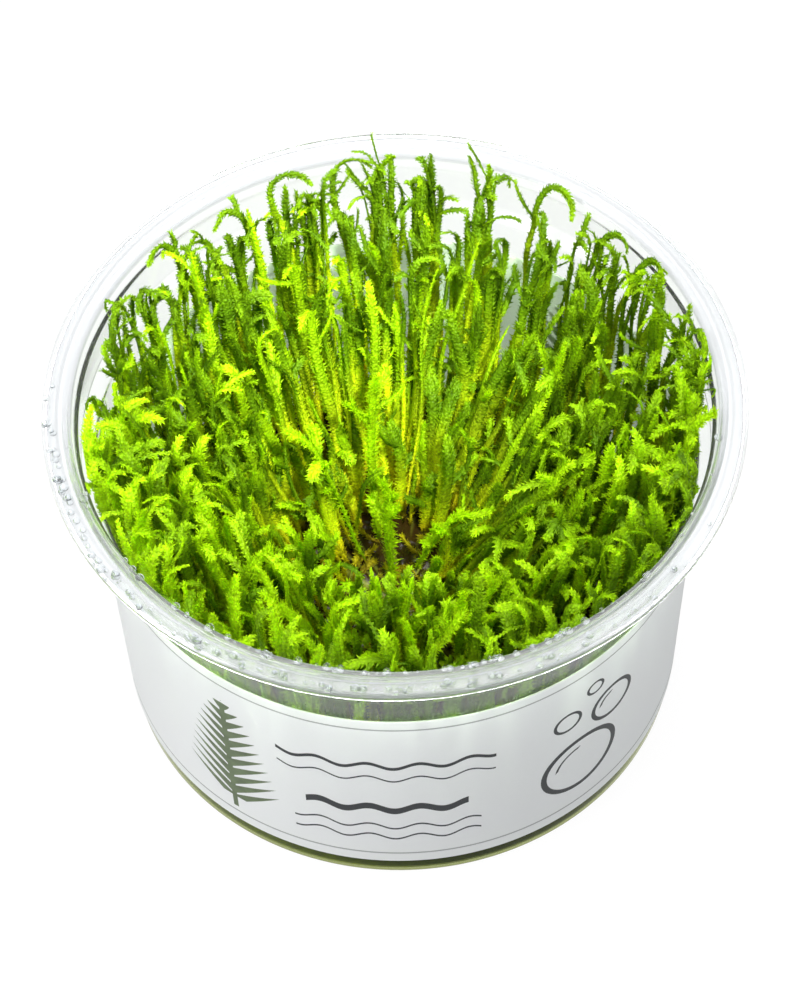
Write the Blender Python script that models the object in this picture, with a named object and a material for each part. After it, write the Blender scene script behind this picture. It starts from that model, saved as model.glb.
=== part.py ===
"""Tissue-cultured Taiwan moss in its round clear cup: metres, +Z up, origin at the middle of the cup's foot."""
import math
import random

import bmesh
import bpy

# Cup
RIM_RADIUS = 0.0505
RIM_INNER_RADIUS = 0.0463
RIM_HEIGHT = 0.0608
SKIRT_DEPTH = 0.0014
FLANGE_THICKNESS = 0.0008
COLLAR_DEPTH = 0.0096
COLLAR_RADIUS = 0.0459
WALL_THICKNESS = 0.0008
WALL_FOOT_RADIUS = 0.0413
WALL_TAPER = 0.0494
FOOT_CORNER = 0.0012
FOOT_RING_WIDTH = 0.0035
FOOT_RECESS = 0.0008
ROUND_SEGMENTS = 56

# Label
LABEL_BOTTOM = 0.0038
LABEL_TOP = 0.0441
LABEL_GAP = 0.0002
LABEL_THICKNESS = 0.00015

# Growth gel
GEL_TOP = 0.0100
GEL_DIP = 0.0006
GAP = 0.0003

# Moss: every stem springs from the gel round a bare hollow and fans out towards the wall
HOLLOW_RADIUS_LOW = 0.0065
HOLLOW_RADIUS_HIGH = 0.0290
HOLLOW_BACK_LOW = 0.0080
HOLLOW_BACK_HIGH = 0.0030
HOLLOW_LEFT = 0.0010
MOSS_WALL_GAP = 0.0005
COLLAR_LEAN_START = 0.0504
COLLAR_LEAN_END = 0.0560
COLLAR_LEAN = 0.0019
WALL_TIP_HEIGHT = 0.0604
WALL_TIP_RISE_TO_BACK = 0.0045
HOLLOW_TIP_HEIGHT = 0.0480
HOLLOW_TIP_RISE_TO_BACK = 0.0030
TIP_VARIATION = 0.0025
TIP_LEAN = 0.13
TUFT_GAP = 0.0007
SHOULDER_SHARE = 0.72
NOTCH_SHARE = 0.58
WAIST_SHARE = 0.34
FLUTE_DEPTH = 0.16
TUFT_BANDS = (
    # name, inner share, outer share, tufts round, tips in and out, tips round
    ("wall_tuft", 0.64, 1.00, 20, 2, 2),
    ("middle_tuft", 0.32, 0.64, 14, 2, 3),
    ("inner_tuft", 0.00, 0.32, 10, 2, 3),
)

# Lone shoots that stand up out of the hollow: name, foot, tip
LONE_SHOOTS = (
    ("front_shoot", (-0.0012, 0.0036, GEL_TOP + GAP), (-0.0016, 0.0010, 0.0410)),
    ("back_shoot", (-0.0030, 0.0122, GEL_TOP + GAP), (-0.0034, 0.0140, 0.0500)),
    ("left_shoot", (-0.0052, 0.0080, GEL_TOP + GAP), (-0.0134, 0.0090, 0.0455)),
    ("right_shoot", (0.0026, 0.0062, GEL_TOP + GAP), (0.0088, -0.0020, 0.0370)),
)
SHOOT_RADIUS = 0.0015
SHOOT_SIDES = 6
SHOOT_RINGS = ((0.0, 0.75), (0.35, 1.0), (0.75, 0.9), (1.0, 0.12))
SHOOT_BOW = 0.0012
SEED = 11

CLEAR_PLASTIC = ("clear_plastic", (0.90, 0.93, 0.94, 1.0), 0.12)
LABEL_FILM = ("label_film", (0.86, 0.88, 0.90, 1.0), 0.45)
GROWTH_GEL = ("growth_gel", (0.09, 0.08, 0.02, 1.0), 0.15)
MOSS_GREEN = ("moss_green", (0.17, 0.42, 0.01, 1.0), 0.60)


def clear_scene():
    for thing in list(bpy.data.objects):
        bpy.data.objects.remove(thing, do_unlink=True)


def material(name, colour, roughness):
    made = bpy.data.materials.get(name)
    if made:
        return made
    made = bpy.data.materials.new(name)
    made.use_nodes = True
    shader = made.node_tree.nodes["Principled BSDF"]
    shader.inputs["Base Color"].default_value = colour
    shader.inputs["Roughness"].default_value = roughness
    shader.inputs["Metallic"].default_value = 0.0
    return made


def mix(low, high, share):
    return low + (high - low) * share


def add_object(name, bm, finish):
    """Keeps the mesh as an object with its material, its round faces smooth and its sharp edges kept."""
    mesh = bpy.data.meshes.new(name)
    bm.to_mesh(mesh)
    bm.free()
    mesh.materials.append(material(*finish))
    mesh.shade_smooth()
    mesh.set_sharp_from_angle(angle=math.radians(35))
    made = bpy.data.objects.new(name, mesh)
    bpy.context.scene.collection.objects.link(made)
    return made


def turned(name, outline, closed, finish):
    """Spins an outline of (radius, height) points about the Z axis; a closed outline makes a ring."""
    bm = bmesh.new()
    points = [bm.verts.new((radius, 0.0, height)) for radius, height in outline]
    pairs = list(zip(points, points[1:]))
    if closed:
        pairs.append((points[-1], points[0]))
    edges = [bm.edges.new(pair) for pair in pairs]
    bmesh.ops.spin(bm, geom=points + edges, cent=(0, 0, 0), axis=(0, 0, 1), angle=math.tau,
                   steps=ROUND_SEGMENTS, use_merge=True, use_duplicate=False)
    bmesh.ops.remove_doubles(bm, verts=bm.verts, dist=1e-6)
    bmesh.ops.recalc_face_normals(bm, faces=bm.faces)
    return add_object(name, bm, finish)


def wall_outside(height):
    """Outer radius of the tapered wall."""
    return WALL_FOOT_RADIUS + WALL_TAPER * height


def wall_inside(height):
    return wall_outside(height) - WALL_THICKNESS


def corner(radius, height, size, first, last, steps=2):
    """Points of a rounded corner of the outline about (radius, height), between two angles in degrees."""
    angles = [math.radians(mix(first, last, step / steps)) for step in range(steps + 1)]
    return [(radius + size * math.cos(a), height + size * math.sin(a)) for a in angles]


def make_cup():
    """A thin turned cup: flange with a skirt, a wider collar under it, a tapered wall and a recessed foot."""
    step_height = RIM_HEIGHT - COLLAR_DEPTH
    step_outside = wall_outside(step_height)
    under_flange = RIM_HEIGHT - FLANGE_THICKNESS
    skirt_bottom = RIM_HEIGHT - SKIRT_DEPTH
    skirt_inside = RIM_RADIUS - FLANGE_THICKNESS
    collar_inside = COLLAR_RADIUS - WALL_THICKNESS
    throat = COLLAR_RADIUS + 0.0010
    foot_outer = wall_outside(FOOT_CORNER) - FOOT_CORNER
    foot_inner = foot_outer - FOOT_RING_WIDTH
    floor = FOOT_RECESS + WALL_THICKNESS
    floor_corner = FOOT_CORNER - WALL_THICKNESS / 2
    floor_radius = wall_inside(FOOT_CORNER) - floor_corner
    outer = [
        (RIM_INNER_RADIUS, RIM_HEIGHT),
        (RIM_RADIUS - 0.0003, RIM_HEIGHT),
        (RIM_RADIUS, RIM_HEIGHT - 0.0003),
        (RIM_RADIUS, skirt_bottom),
        (skirt_inside, skirt_bottom),
        (skirt_inside, under_flange),
        (throat, under_flange),
        (COLLAR_RADIUS, under_flange - 0.0014),
        (COLLAR_RADIUS, step_height + 0.0004),
        (step_outside, step_height - 0.0006),
    ]
    outer += corner(foot_outer, FOOT_CORNER, FOOT_CORNER, 0, -90)
    outer += [(foot_inner, 0.0), (foot_inner - 0.0008, FOOT_RECESS), (0.0, FOOT_RECESS)]
    inner = [(0.0, floor), (foot_inner - 0.0004, floor), (foot_inner + 0.0004, WALL_THICKNESS)]
    inner += corner(floor_radius, WALL_THICKNESS + floor_corner, floor_corner, -90, 0)
    inner += [
        (wall_inside(step_height), step_height - 0.0002),
        (collar_inside, step_height + 0.0012),
        (collar_inside, under_flange - 0.0018),
        (RIM_INNER_RADIUS, under_flange - 0.0006),
    ]
    return turned("cup", outer + inner, True, CLEAR_PLASTIC)


def make_label():
    """A thin film that runs all round the tapered wall."""
    def face(height, outward):
        return (wall_outside(height) + LABEL_GAP + outward, height)
    outline = [face(LABEL_TOP, LABEL_THICKNESS), face(LABEL_BOTTOM, LABEL_THICKNESS),
               face(LABEL_BOTTOM, 0.0), face(LABEL_TOP, 0.0)]
    return turned("label", outline, True, LABEL_FILM)


def make_gel():
    """The set gel in the foot of the cup, which dips a little under the bare hollow."""
    foot_inner = wall_outside(FOOT_CORNER) - FOOT_CORNER - FOOT_RING_WIDTH
    floor = FOOT_RECESS + WALL_THICKNESS
    outline = [
        (0.0, GEL_TOP - GEL_DIP),
        (HOLLOW_RADIUS_LOW + HOLLOW_BACK_LOW, GEL_TOP),
        (wall_inside(GEL_TOP) - GAP, GEL_TOP),
        (wall_inside(FOOT_CORNER * 2) - GAP, FOOT_CORNER * 2),
        (foot_inner - GAP * 2, floor + GAP),
        (0.0, floor + GAP),
    ]
    return turned("growth_gel", outline, False, GROWTH_GEL)


def growth_point(out_share, direction, height):
    """Where a stem of the fan passes this height: out_share runs from the hollow's edge, 0, to the wall, 1."""
    rise = (height - GEL_TOP) / (RIM_HEIGHT - GEL_TOP)
    hollow_radius = mix(HOLLOW_RADIUS_LOW, HOLLOW_RADIUS_HIGH, rise)
    hollow_back = mix(HOLLOW_BACK_LOW, HOLLOW_BACK_HIGH, rise)
    lean = (height - COLLAR_LEAN_START) / (COLLAR_LEAN_END - COLLAR_LEAN_START)
    outer = wall_inside(min(height, COLLAR_LEAN_START)) - MOSS_WALL_GAP + COLLAR_LEAN * min(max(lean, 0.0), 1.0)
    radius = mix(hollow_radius, outer, out_share)
    x = -HOLLOW_LEFT * (1 - out_share) + radius * math.cos(direction)
    y = hollow_back * (1 - out_share) + radius * math.sin(direction)
    return x, y, height


def tip_height(out_share, direction):
    """The moss stands high along the wall and low by the hollow, and higher at the back than in front."""
    back = math.sin(direction)
    by_hollow = HOLLOW_TIP_HEIGHT + HOLLOW_TIP_RISE_TO_BACK * back
    by_wall = WALL_TIP_HEIGHT + WALL_TIP_RISE_TO_BACK * back
    return mix(by_hollow, by_wall, out_share)


def tuft_block(cells_out, cells_round):
    """A closed block of unit size, two levels tall, with a grid of points on its top. Returns its level layer too."""
    bm = bmesh.new()
    bmesh.ops.create_grid(bm, x_segments=cells_out, y_segments=cells_round, size=0.5)
    layer = bm.verts.layers.int.new("level")
    for level in (1, 2):
        below = [face for face in bm.faces if all(vert[layer] == level - 1 for vert in face.verts)]
        made = bmesh.ops.extrude_face_region(bm, geom=below, use_keep_orig=True)
        for thing in made["geom"]:
            if isinstance(thing, bmesh.types.BMVert):
                thing[layer] = level
                thing.co.z = level
        if level > 1:
            bmesh.ops.delete(bm, geom=below, context="FACES")
    floor = [face for face in bm.faces if all(vert[layer] == 0 for vert in face.verts)]
    bmesh.ops.dissolve_faces(bm, faces=floor, use_verts=True)
    bmesh.ops.recalc_face_normals(bm, faces=bm.faces)
    return bm, layer


def make_tuft(name, shares, directions, tips, chance):
    """One clump of shoots grown together: a fluted, leaning body that ends in a pointed tip for each shoot."""
    cells_out, cells_round = 2 * tips[0], 2 * tips[1]
    bm, layer = tuft_block(cells_out, cells_round)
    for vert in bm.verts:
        column, row = round((vert.co.x + 0.5) * cells_out), round((vert.co.y + 0.5) * cells_round)
        at_side = column in (0, cells_out) or row in (0, cells_round)
        in_notch = column % 2 == 0 and row % 2 == 0
        on_tip = vert[layer] == 2 and column % 2 == 1 and row % 2 == 1
        pull = 1 - FLUTE_DEPTH if at_side and in_notch else 1.0
        lean = TIP_LEAN if on_tip else 0.0
        out_share = mix(*shares, 0.5 + (column / cells_out - 0.5) * pull + lean)
        direction = math.radians(mix(*directions, 0.5 + (row / cells_round - 0.5) * pull))
        tall = tip_height(out_share, direction) - GEL_TOP
        if vert[layer] < 2:
            tall *= WAIST_SHARE * vert[layer]
        elif on_tip:
            tall += TIP_VARIATION * chance.uniform(-1.0, 1.0)
        else:
            tall *= NOTCH_SHARE if in_notch else SHOULDER_SHARE
        vert.co = growth_point(out_share, direction, GEL_TOP + GAP + tall)
    return add_object(name, bm, MOSS_GREEN)


def make_lone_shoot(name, foot, tip):
    """A single slender shoot: rings of points along a line that bows a little towards the front."""
    bm = bmesh.new()
    rings = []
    for share, width in SHOOT_RINGS:
        bow = SHOOT_BOW * math.sin(math.pi * share)
        middle = [mix(low, high, share) for low, high in zip(foot, tip)]
        ring = []
        for side in range(SHOOT_SIDES):
            turn = math.tau * side / SHOOT_SIDES
            radius = SHOOT_RADIUS * width
            ring.append(bm.verts.new((middle[0] + radius * math.cos(turn),
                                      middle[1] - bow + radius * math.sin(turn), middle[2])))
        rings.append(ring)
    for low, high in zip(rings, rings[1:]):
        for side in range(SHOOT_SIDES):
            following = (side + 1) % SHOOT_SIDES
            bm.faces.new((low[side], low[following], high[following], high[side]))
    bm.faces.new(list(reversed(rings[0])))
    bm.faces.new(rings[-1])
    return add_object(name, bm, MOSS_GREEN)


def make_moss():
    chance = random.Random(SEED)
    span = wall_inside(GEL_TOP) - HOLLOW_RADIUS_LOW
    for name, inner, outer, tufts, tips_out, tips_round in TUFT_BANDS:
        turn = 360.0 / tufts
        gap_turn = math.degrees(TUFT_GAP / (HOLLOW_RADIUS_LOW + span * (inner + outer) / 2))
        gap_share = TUFT_GAP / 2 / span
        for number in range(tufts):
            first = number * turn + gap_turn / 2
            make_tuft(f"{name}_{number + 1:02d}", (inner + gap_share, outer - gap_share),
                      (first, first + turn - gap_turn), (tips_out, tips_round), chance)
    for name, foot, tip in LONE_SHOOTS:
        make_lone_shoot(name, foot, tip)


clear_scene()
make_cup()
make_label()
make_gel()
make_moss()
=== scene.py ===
"""Looks of the tissue-cultured Taiwan moss in its clear cup: moss, gel, cup, label, dew, floor and light."""
import copy
import math

import bpy
import numpy as np
from bpy.props import FloatProperty, FloatVectorProperty, IntProperty, PointerProperty
from mathutils import Matrix, Vector


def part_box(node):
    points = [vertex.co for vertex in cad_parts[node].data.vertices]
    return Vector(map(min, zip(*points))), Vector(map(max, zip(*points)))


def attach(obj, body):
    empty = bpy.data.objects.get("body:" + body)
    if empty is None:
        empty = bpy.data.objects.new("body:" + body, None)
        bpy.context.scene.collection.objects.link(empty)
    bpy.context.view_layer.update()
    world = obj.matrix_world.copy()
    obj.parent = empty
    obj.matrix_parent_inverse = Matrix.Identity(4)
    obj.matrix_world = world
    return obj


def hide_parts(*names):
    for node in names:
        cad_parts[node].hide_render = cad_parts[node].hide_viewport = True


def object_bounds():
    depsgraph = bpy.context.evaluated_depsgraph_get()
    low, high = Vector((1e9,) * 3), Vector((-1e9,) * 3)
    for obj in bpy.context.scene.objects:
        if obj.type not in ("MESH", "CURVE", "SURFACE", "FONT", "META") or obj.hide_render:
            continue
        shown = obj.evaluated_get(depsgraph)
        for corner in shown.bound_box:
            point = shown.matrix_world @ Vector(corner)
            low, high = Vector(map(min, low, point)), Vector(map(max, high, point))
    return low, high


bl_info = {
    "name": "Taiwan moss in its cup",
    "version": (1, 0, 0),
    "blender": (4, 5, 0),
    "location": "3D View > Sidebar > Moss cup",
    "description": "Builds a cup of tissue-cultured moss piece by piece, with its floor, light and camera",
    "category": "Object",
}

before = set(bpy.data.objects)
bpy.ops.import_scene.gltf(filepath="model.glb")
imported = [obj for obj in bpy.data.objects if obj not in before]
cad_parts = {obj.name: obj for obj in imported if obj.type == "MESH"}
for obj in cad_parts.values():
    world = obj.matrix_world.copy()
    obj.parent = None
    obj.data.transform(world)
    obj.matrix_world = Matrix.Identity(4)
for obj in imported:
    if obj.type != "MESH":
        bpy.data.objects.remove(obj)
CAD_BOX = [list(corner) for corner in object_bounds()]
GEL_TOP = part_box("growth_gel")[1][2]
RIM_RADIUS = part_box("cup")[1][0]
RIM_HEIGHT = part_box("cup")[1][2]
LABEL_LOW, LABEL_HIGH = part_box("label")

# The cup's own outline, in metres, as the solids have it
WALL_FOOT_RADIUS = 0.0413
WALL_TAPER = 0.0494
STEP_HEIGHT = 0.0512
COLLAR_RADIUS = 0.0459
RIM_INNER_RADIUS = 0.0463
MISTED_FROM = RIM_HEIGHT - 0.0012
# The recess under the foot: its depth, and its radius at the top
RECESS_DEPTH = 0.0008
RECESS_RADIUS = 0.0358

# The moss's fan, as the solids have it
HOLLOW_RADIUS = (0.0065, 0.0290)
HOLLOW_BACK = (0.0080, 0.0030)
HOLLOW_LEFT = 0.0010
WALL_CLEARANCE = 0.0007
# How deep the uneven top of the gel sags, and where in it shoots root
GEL_SAG = 0.0006
ROOT_HEIGHT = GEL_TOP - 0.0003
# Share of the way out from which a shoot stands along the wall
ALONG_WALL = 0.70
UP = np.array([0.0, 0.0, 1.0])
# Free radius inside the cup at a few heights, for anything that grows there
ROOM_HEIGHTS = (0.0000, 0.0504, 0.0522, 0.0584, 0.0600, 0.0700)
ROOM_RADII = (0.0403, 0.0429, 0.0448, 0.0449, 0.0460, 0.0466)
BANDS = {
    # name: inner share, outer share, rows of shoots, parts, solids it stands for
    "inner_moss": (0.00, 0.32, 5, 2, "inner_tuft"),
    "middle_moss": (0.32, 0.64, 5, 2, "middle_tuft"),
    "wall_moss": (0.64, 1.00, 6, 4, "wall_tuft"),
}
# Clumps along the back wall, with clear wall between them: degrees round, height of the tips in mm, shoots
BACK_CLUMPS = (
    (2, 63, 6), (11, 64, 7), (21, 64, 7), (31, 62, 7), (40, 60, 6), (48, 60, 5), (56, 58, 3),
    (69, 56, 4), (82, 60, 8), (91, 63, 9), (98, 56, 2), (107, 61, 10), (114, 61, 6), (123, 57, 5),
    (131, 56, 4), (139, 60, 6), (147, 61, 7), (155, 63, 7), (163, 59, 6), (172, 56, 5), (181, 58, 5),
)
# Lime shoots that stand out from the rest: degrees round, share of the way out, height of the tip in mm
BRIGHT_SHOOTS = (
    (160, 0.25, 52), (95, -0.15, 53), (77, -0.15, 57), (69, 0.02, 60), (25, 0.17, 57), (122, -0.20, 56),
    (144, -0.08, 54), (45, 0.00, 49), (10, -0.10, 49), (196, 0.62, 57), (204, 0.80, 59), (187, 0.90, 60),
)
# Stems that stand against the front wall, pale with painted backlight, in degrees round
FRONT_STEMS = (197, 205, 211, 220, 229, 235, 241, 249, 254, 262, 273, 279, 288, 295, 301, 311, 322, 330, 341)
# Shoots whose tops arch over the wall: points of degrees round and height in mm, foot to tip
ARCHED_SHOOTS = (
    ((68, 22), (69, 42), (71, 53), (73, 60), (74.5, 64)),
    ((68, 22), (68.5, 42), (69.5, 54), (70, 60), (70.5, 63)),
    ((60, 30), (60.5, 46), (60, 58), (58, 62.5), (55, 63.5), (52.5, 61), (51.5, 57.5)),
    ((97, 26), (98.5, 44), (101, 55), (101, 60), (98, 62.5), (94.5, 62), (92.5, 59)),
    ((108, 30), (111, 50), (114, 58), (113, 61.5), (109.5, 62), (106, 60.5), (104.5, 58)),
    ((116, 30), (118, 48), (119.5, 57), (122, 60), (125, 59.5), (127, 57)),
    ((124, 30), (126, 48), (128, 56), (131, 58.5), (134, 57.5), (135.5, 55)),
    ((132, 28), (134.5, 50), (136, 59), (138.5, 62), (141.5, 61.5), (143, 59)),
    ((170, 28), (171, 46), (173, 56), (176, 60), (179, 59.5), (181, 57)),
    ((47, 30), (46.5, 48), (45, 57), (42, 61), (39, 61), (37.5, 58.5)),
    ((37, 30), (36, 50), (34, 59), (31, 63), (28, 62.5), (27, 60)),
    ((17, 30), (16, 52), (14, 61), (11, 64.5), (8, 64), (7, 61.5)),
    ((94, 30), (93.5, 46), (92.5, 56), (91, 60), (89.5, 62.5), (88, 61.5)),
)
# Shades in the growth map
LIME_SHADES = (0.84, 0.98)
BRIGHT_SHADES = (0.86, 0.95)
# Shades of the stems at the front wall, from the wall ramp: painted backlight
BACKLIT_STEM_SHADES = (0.03, 0.15)
# Share of a shoot's length at which its tip begins, and its leaves before and on the tip, by kind of shoot
TIP_FROM = 0.86
MAIN_LEAVES = (310, 56)
SIDE_LEAVES = (40, 12)
CURL_LEAVES = (60, 8)
LONE_LEAVES = (420, 70)
LONE_SIDE_LEAVES = (70, 30)
# How a shoot bends at its tip, hooked or gently: degrees, and share of its length from which it bends
HOOKED_BEND, HOOKED_FROM = (70, 175), (0.84, 0.94)
GENTLE_BEND, GENTLE_FROM = (4, 38), (0.45, 0.80)
# Shoots that stand free in the hollow: way that the tip bends, degrees that it bends by, width, shade
LONE_SHOOTS = {
    "front_shoot": ((-0.6, -0.8, 0.0), 14.0, 0.0019, 0.99),
    "back_shoot": ((0.5, -0.8, 0.0), 18.0, 0.0015, 0.98),
    "left_shoot": ((-0.9, -0.4, 0.0), 40.0, 0.0015, 0.98),
    "right_shoot": ((0.8, -0.5, 0.0), 30.0, 0.0014, 0.93),
}
# Where the drops on the flange gather, in degrees round
DROP_CLUSTERS = (198.0, 235.0, 262.0, 300.0)
# How high a drop stands, as a share of its radius
DROP_RISE = 0.62
# The label's motifs, in mm round the wall from its front and up from the floor
FROND_PLACE = (-27.5, 8.5)
FROND_HEIGHT = 29.0
FROND_REACH = 9.5
LEAFLET_SPACING = 2.6
LEAFLET_SLANT = 0.75
STEM_TOP = 27.5
STEM_HALF_THICK = 0.45
# Waves: height, half thickness, half length
WAVES = ((31.6, 0.42, 16.0), (28.0, 0.20, 16.0), (19.4, 0.85, 12.0), (14.2, 0.22, 14.0), (11.2, 0.22, 14.0))
WAVES_MIDDLE = -3.0
WAVE_SWELL = 0.7
# How far a wave's line turns in one mm, in radians
WAVE_TURN = 0.85
# Bubbles: place round and up, radius, half thickness of the line
BUBBLES = ((27.5, 17.5, 6.6, 0.50), (33.0, 29.0, 3.8, 0.38), (24.5, 31.0, 2.2, 0.28), (29.2, 36.2, 1.4, 0.24))
GLINTS = ((27.5, 17.5, 4.4, 0.22), (33.0, 29.0, 2.4, 0.22))
# Thin rules: lower and upper edge
RULES = ((6.0, 6.35), (41.6, 41.95))
LABEL_RADIUS_MM = 42.7

# The camera, as the photograph was taken
CAMERA_PLACE = (0.000191, -0.38278, 0.56273)
CAMERA_RIGHT = Vector((0.99951, -0.02519, -0.01834))
CAMERA_UP = Vector((0.03116, 0.80814, 0.58816))
CAMERA_LENS = 159.19
# Area lamps: place, width, colour
AREA_LAMPS = {
    "key_light": ((-0.50, -0.25, 0.70), 0.40, (1.0, 0.99, 0.97)),
    "top_light": ((0.05, 0.02, 0.95), 0.80, (1.0, 1.0, 1.0)),
    "back_light": ((0.0, 0.50, 0.95), 0.25, (1.0, 1.0, 1.0)),
}
CUP_MIDDLE = (0.0, 0.0, 0.04)
# The spot that shines into the cup: place, and what it is aimed at in the moss
SPOT_PLACE = (0.14, -0.35, 0.72)
SPOT_AIM = (-0.012, 0.032, 0.045)
SPOT_ANGLE = math.radians(8.5)
WHITE = (1.0, 1.0, 1.0, 1.0)


def length(name, description, default):
    return FloatProperty(name=name, description=description, default=default, min=0.0, unit="LENGTH",
                         precision=5)


def share(name, description, default):
    return FloatProperty(name=name, description=description, default=default, min=0.0, max=1.0,
                         subtype="FACTOR")


def strength(name, description, default, kind="NONE"):
    return FloatProperty(name=name, description=description, default=default, min=0.0, subtype=kind)


def whole(name, description, default, least=1):
    return IntProperty(name=name, description=description, default=default, min=least)


def colour(name, description, default):
    return FloatVectorProperty(name=name, description=description, default=default, size=3, min=0.0, max=1.0,
                               subtype="COLOR")


class MossCupSettings(bpy.types.PropertyGroup):
    """The clear cup"""
    steps: whole("Steps round", "Faces round the turned cup", 192, 32)
    tint: colour("Plastic", "Tint of the clear plastic", (0.930, 0.955, 0.935))
    flange_tint: colour("Flange", "Tint of the misted flange", (0.685, 0.705, 0.720))
    # The foot's dark olive tint is partly the gel showing through and partly painted shade under the cup
    foot_gel_and_shade_tint: colour("Foot", "Tint of the plastic that the gel lies against", (0.270, 0.310, 0.095))
    haze: share("Haze", "Roughness of the plastic", 0.06)
    milk: share("Milkiness", "Share of light that the plastic scatters", 0.015)
    flange_haze: share("Flange haze", "Roughness of the misted flange", 0.19)
    flange_milk: share("Flange milkiness", "Share of light that the misted flange scatters", 0.065)
    wall: length("Wall", "Thickness of the plastic", 0.0005)


class MossLabelSettings(bpy.types.PropertyGroup):
    """The film label round the wall"""
    film: colour("Film", "Colour of the film", (0.895, 0.908, 0.942))
    # Reverse: pale green, painted green light from the moss on the film's inner side
    reverse: colour("Reverse", "Colour of the film's inner side", (0.76, 0.90, 0.66))
    ink: colour("Ink", "Colour of the dark print", (0.018, 0.023, 0.028))
    leaf_ink: colour("Leaf ink", "Colour of the frond print", (0.060, 0.085, 0.040))


class MossGelSettings(bpy.types.PropertyGroup):
    """The set gel under the moss"""
    side: colour("Gel", "Colour of the gel by the wall", (0.300, 0.360, 0.035))
    top: colour("Old gel", "Colour of the gel in the hollow", (0.024, 0.014, 0.002))


class MossGrowthSettings(bpy.types.PropertyGroup):
    """The moss"""
    wall_shoots: whole("Wall shoots", "Shoots along the wall", 480)
    middle_shoots: whole("Middle shoots", "Shoots half way out", 400)
    inner_shoots: whole("Inner shoots", "Shoots by the hollow", 320)
    seed: whole("Seed", "Another seed grows another cup of moss", 7, 0)
    hollow_shoots: whole("Hollow shoots", "Upright shoots at the hollow's edge", 40)
    shoot_width: length("Shoot width", "Width of a shoot's body without its leaf tips", 0.0016)
    flatness: share("Flatness", "Thickness of a shoot's body over its width", 0.38)
    leaf_length: length("Leaf length", "Length of a full-grown leaf", 0.00080)
    tip_leaf_length: length("Tip leaf length", "Length of a leaf at a shoot's tip", 0.00100)
    leaf_width: length("Leaf width", "Width of a leaf", 0.00031)
    wall_height: length("Height by the wall", "Height of the tips along the wall", 0.0612)
    hollow_height: length("Height by the hollow", "Height of the tips round the hollow", 0.0470)
    old: colour("Old growth", "Colour at a shoot's foot", (0.110, 0.070, 0.006))
    fading: colour("Fading growth", "Colour of the yellowed lower leaves", (0.920, 0.880, 0.012))
    wilted: colour("Wilted growth", "Colour of the few wilted leaves", (0.900, 0.500, 0.010))
    # Painted backlight: a pale yellow green for light through the leaves from the wall behind them
    backlit: colour("Backlit growth", "Colour of leaves in front of the wall", (0.860, 0.980, 0.010))
    # Deep green: partly the leaves' own green, partly painted shade in the thick of the moss
    deep_and_shaded: colour("Deep green", "Colour of leaves in the thick of the moss", (0.022, 0.100, 0.002))
    mature: colour("Mature green", "Colour of full-grown leaves", (0.330, 0.585, 0.003))
    fresh: colour("Fresh growth", "Colour of the youngest tips", (0.500, 0.790, 0.003))


class MossDewSettings(bpy.types.PropertyGroup):
    """The dew on the plastic"""
    drops: whole("Drops", "Drops on the flange and its edge", 240)
    smallest: length("Smallest drop", "Radius of the smallest drop", 0.00015)
    largest: length("Largest drop", "Radius of the largest drop", 0.00072)


class MossStageSettings(bpy.types.PropertyGroup):
    """The floor and the light"""
    floor_size: length("Floor size", "Width of the floor", 6.0)
    floor: colour("Floor", "Colour of the floor", (0.02, 0.02, 0.02))
    glow: strength("Floor glow", "Light that the floor gives off", 0.95)
    sky: strength("Sky", "Strength of the even light all round", 0.72)
    key_light: strength("Key light", "Power of the main light", 8.0, "POWER")
    top_light: strength("Top light", "Power of the light over the cup", 11.0, "POWER")
    back_light: strength("Back light", "Power of the light behind the cup", 2.2, "POWER")
    mouth_light: strength("Mouth light", "Power of the spot that shines into the cup", 125.0, "POWER")


def settings():
    return bpy.context.scene.moss_cup


class MossCupAll(bpy.types.PropertyGroup):
    """All settings of the cup of moss"""
    cup: PointerProperty(type=MossCupSettings)
    label: PointerProperty(type=MossLabelSettings)
    gel: PointerProperty(type=MossGelSettings)
    growth: PointerProperty(type=MossGrowthSettings)
    dew: PointerProperty(type=MossDewSettings)
    stage: PointerProperty(type=MossStageSettings)


# Materials

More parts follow.
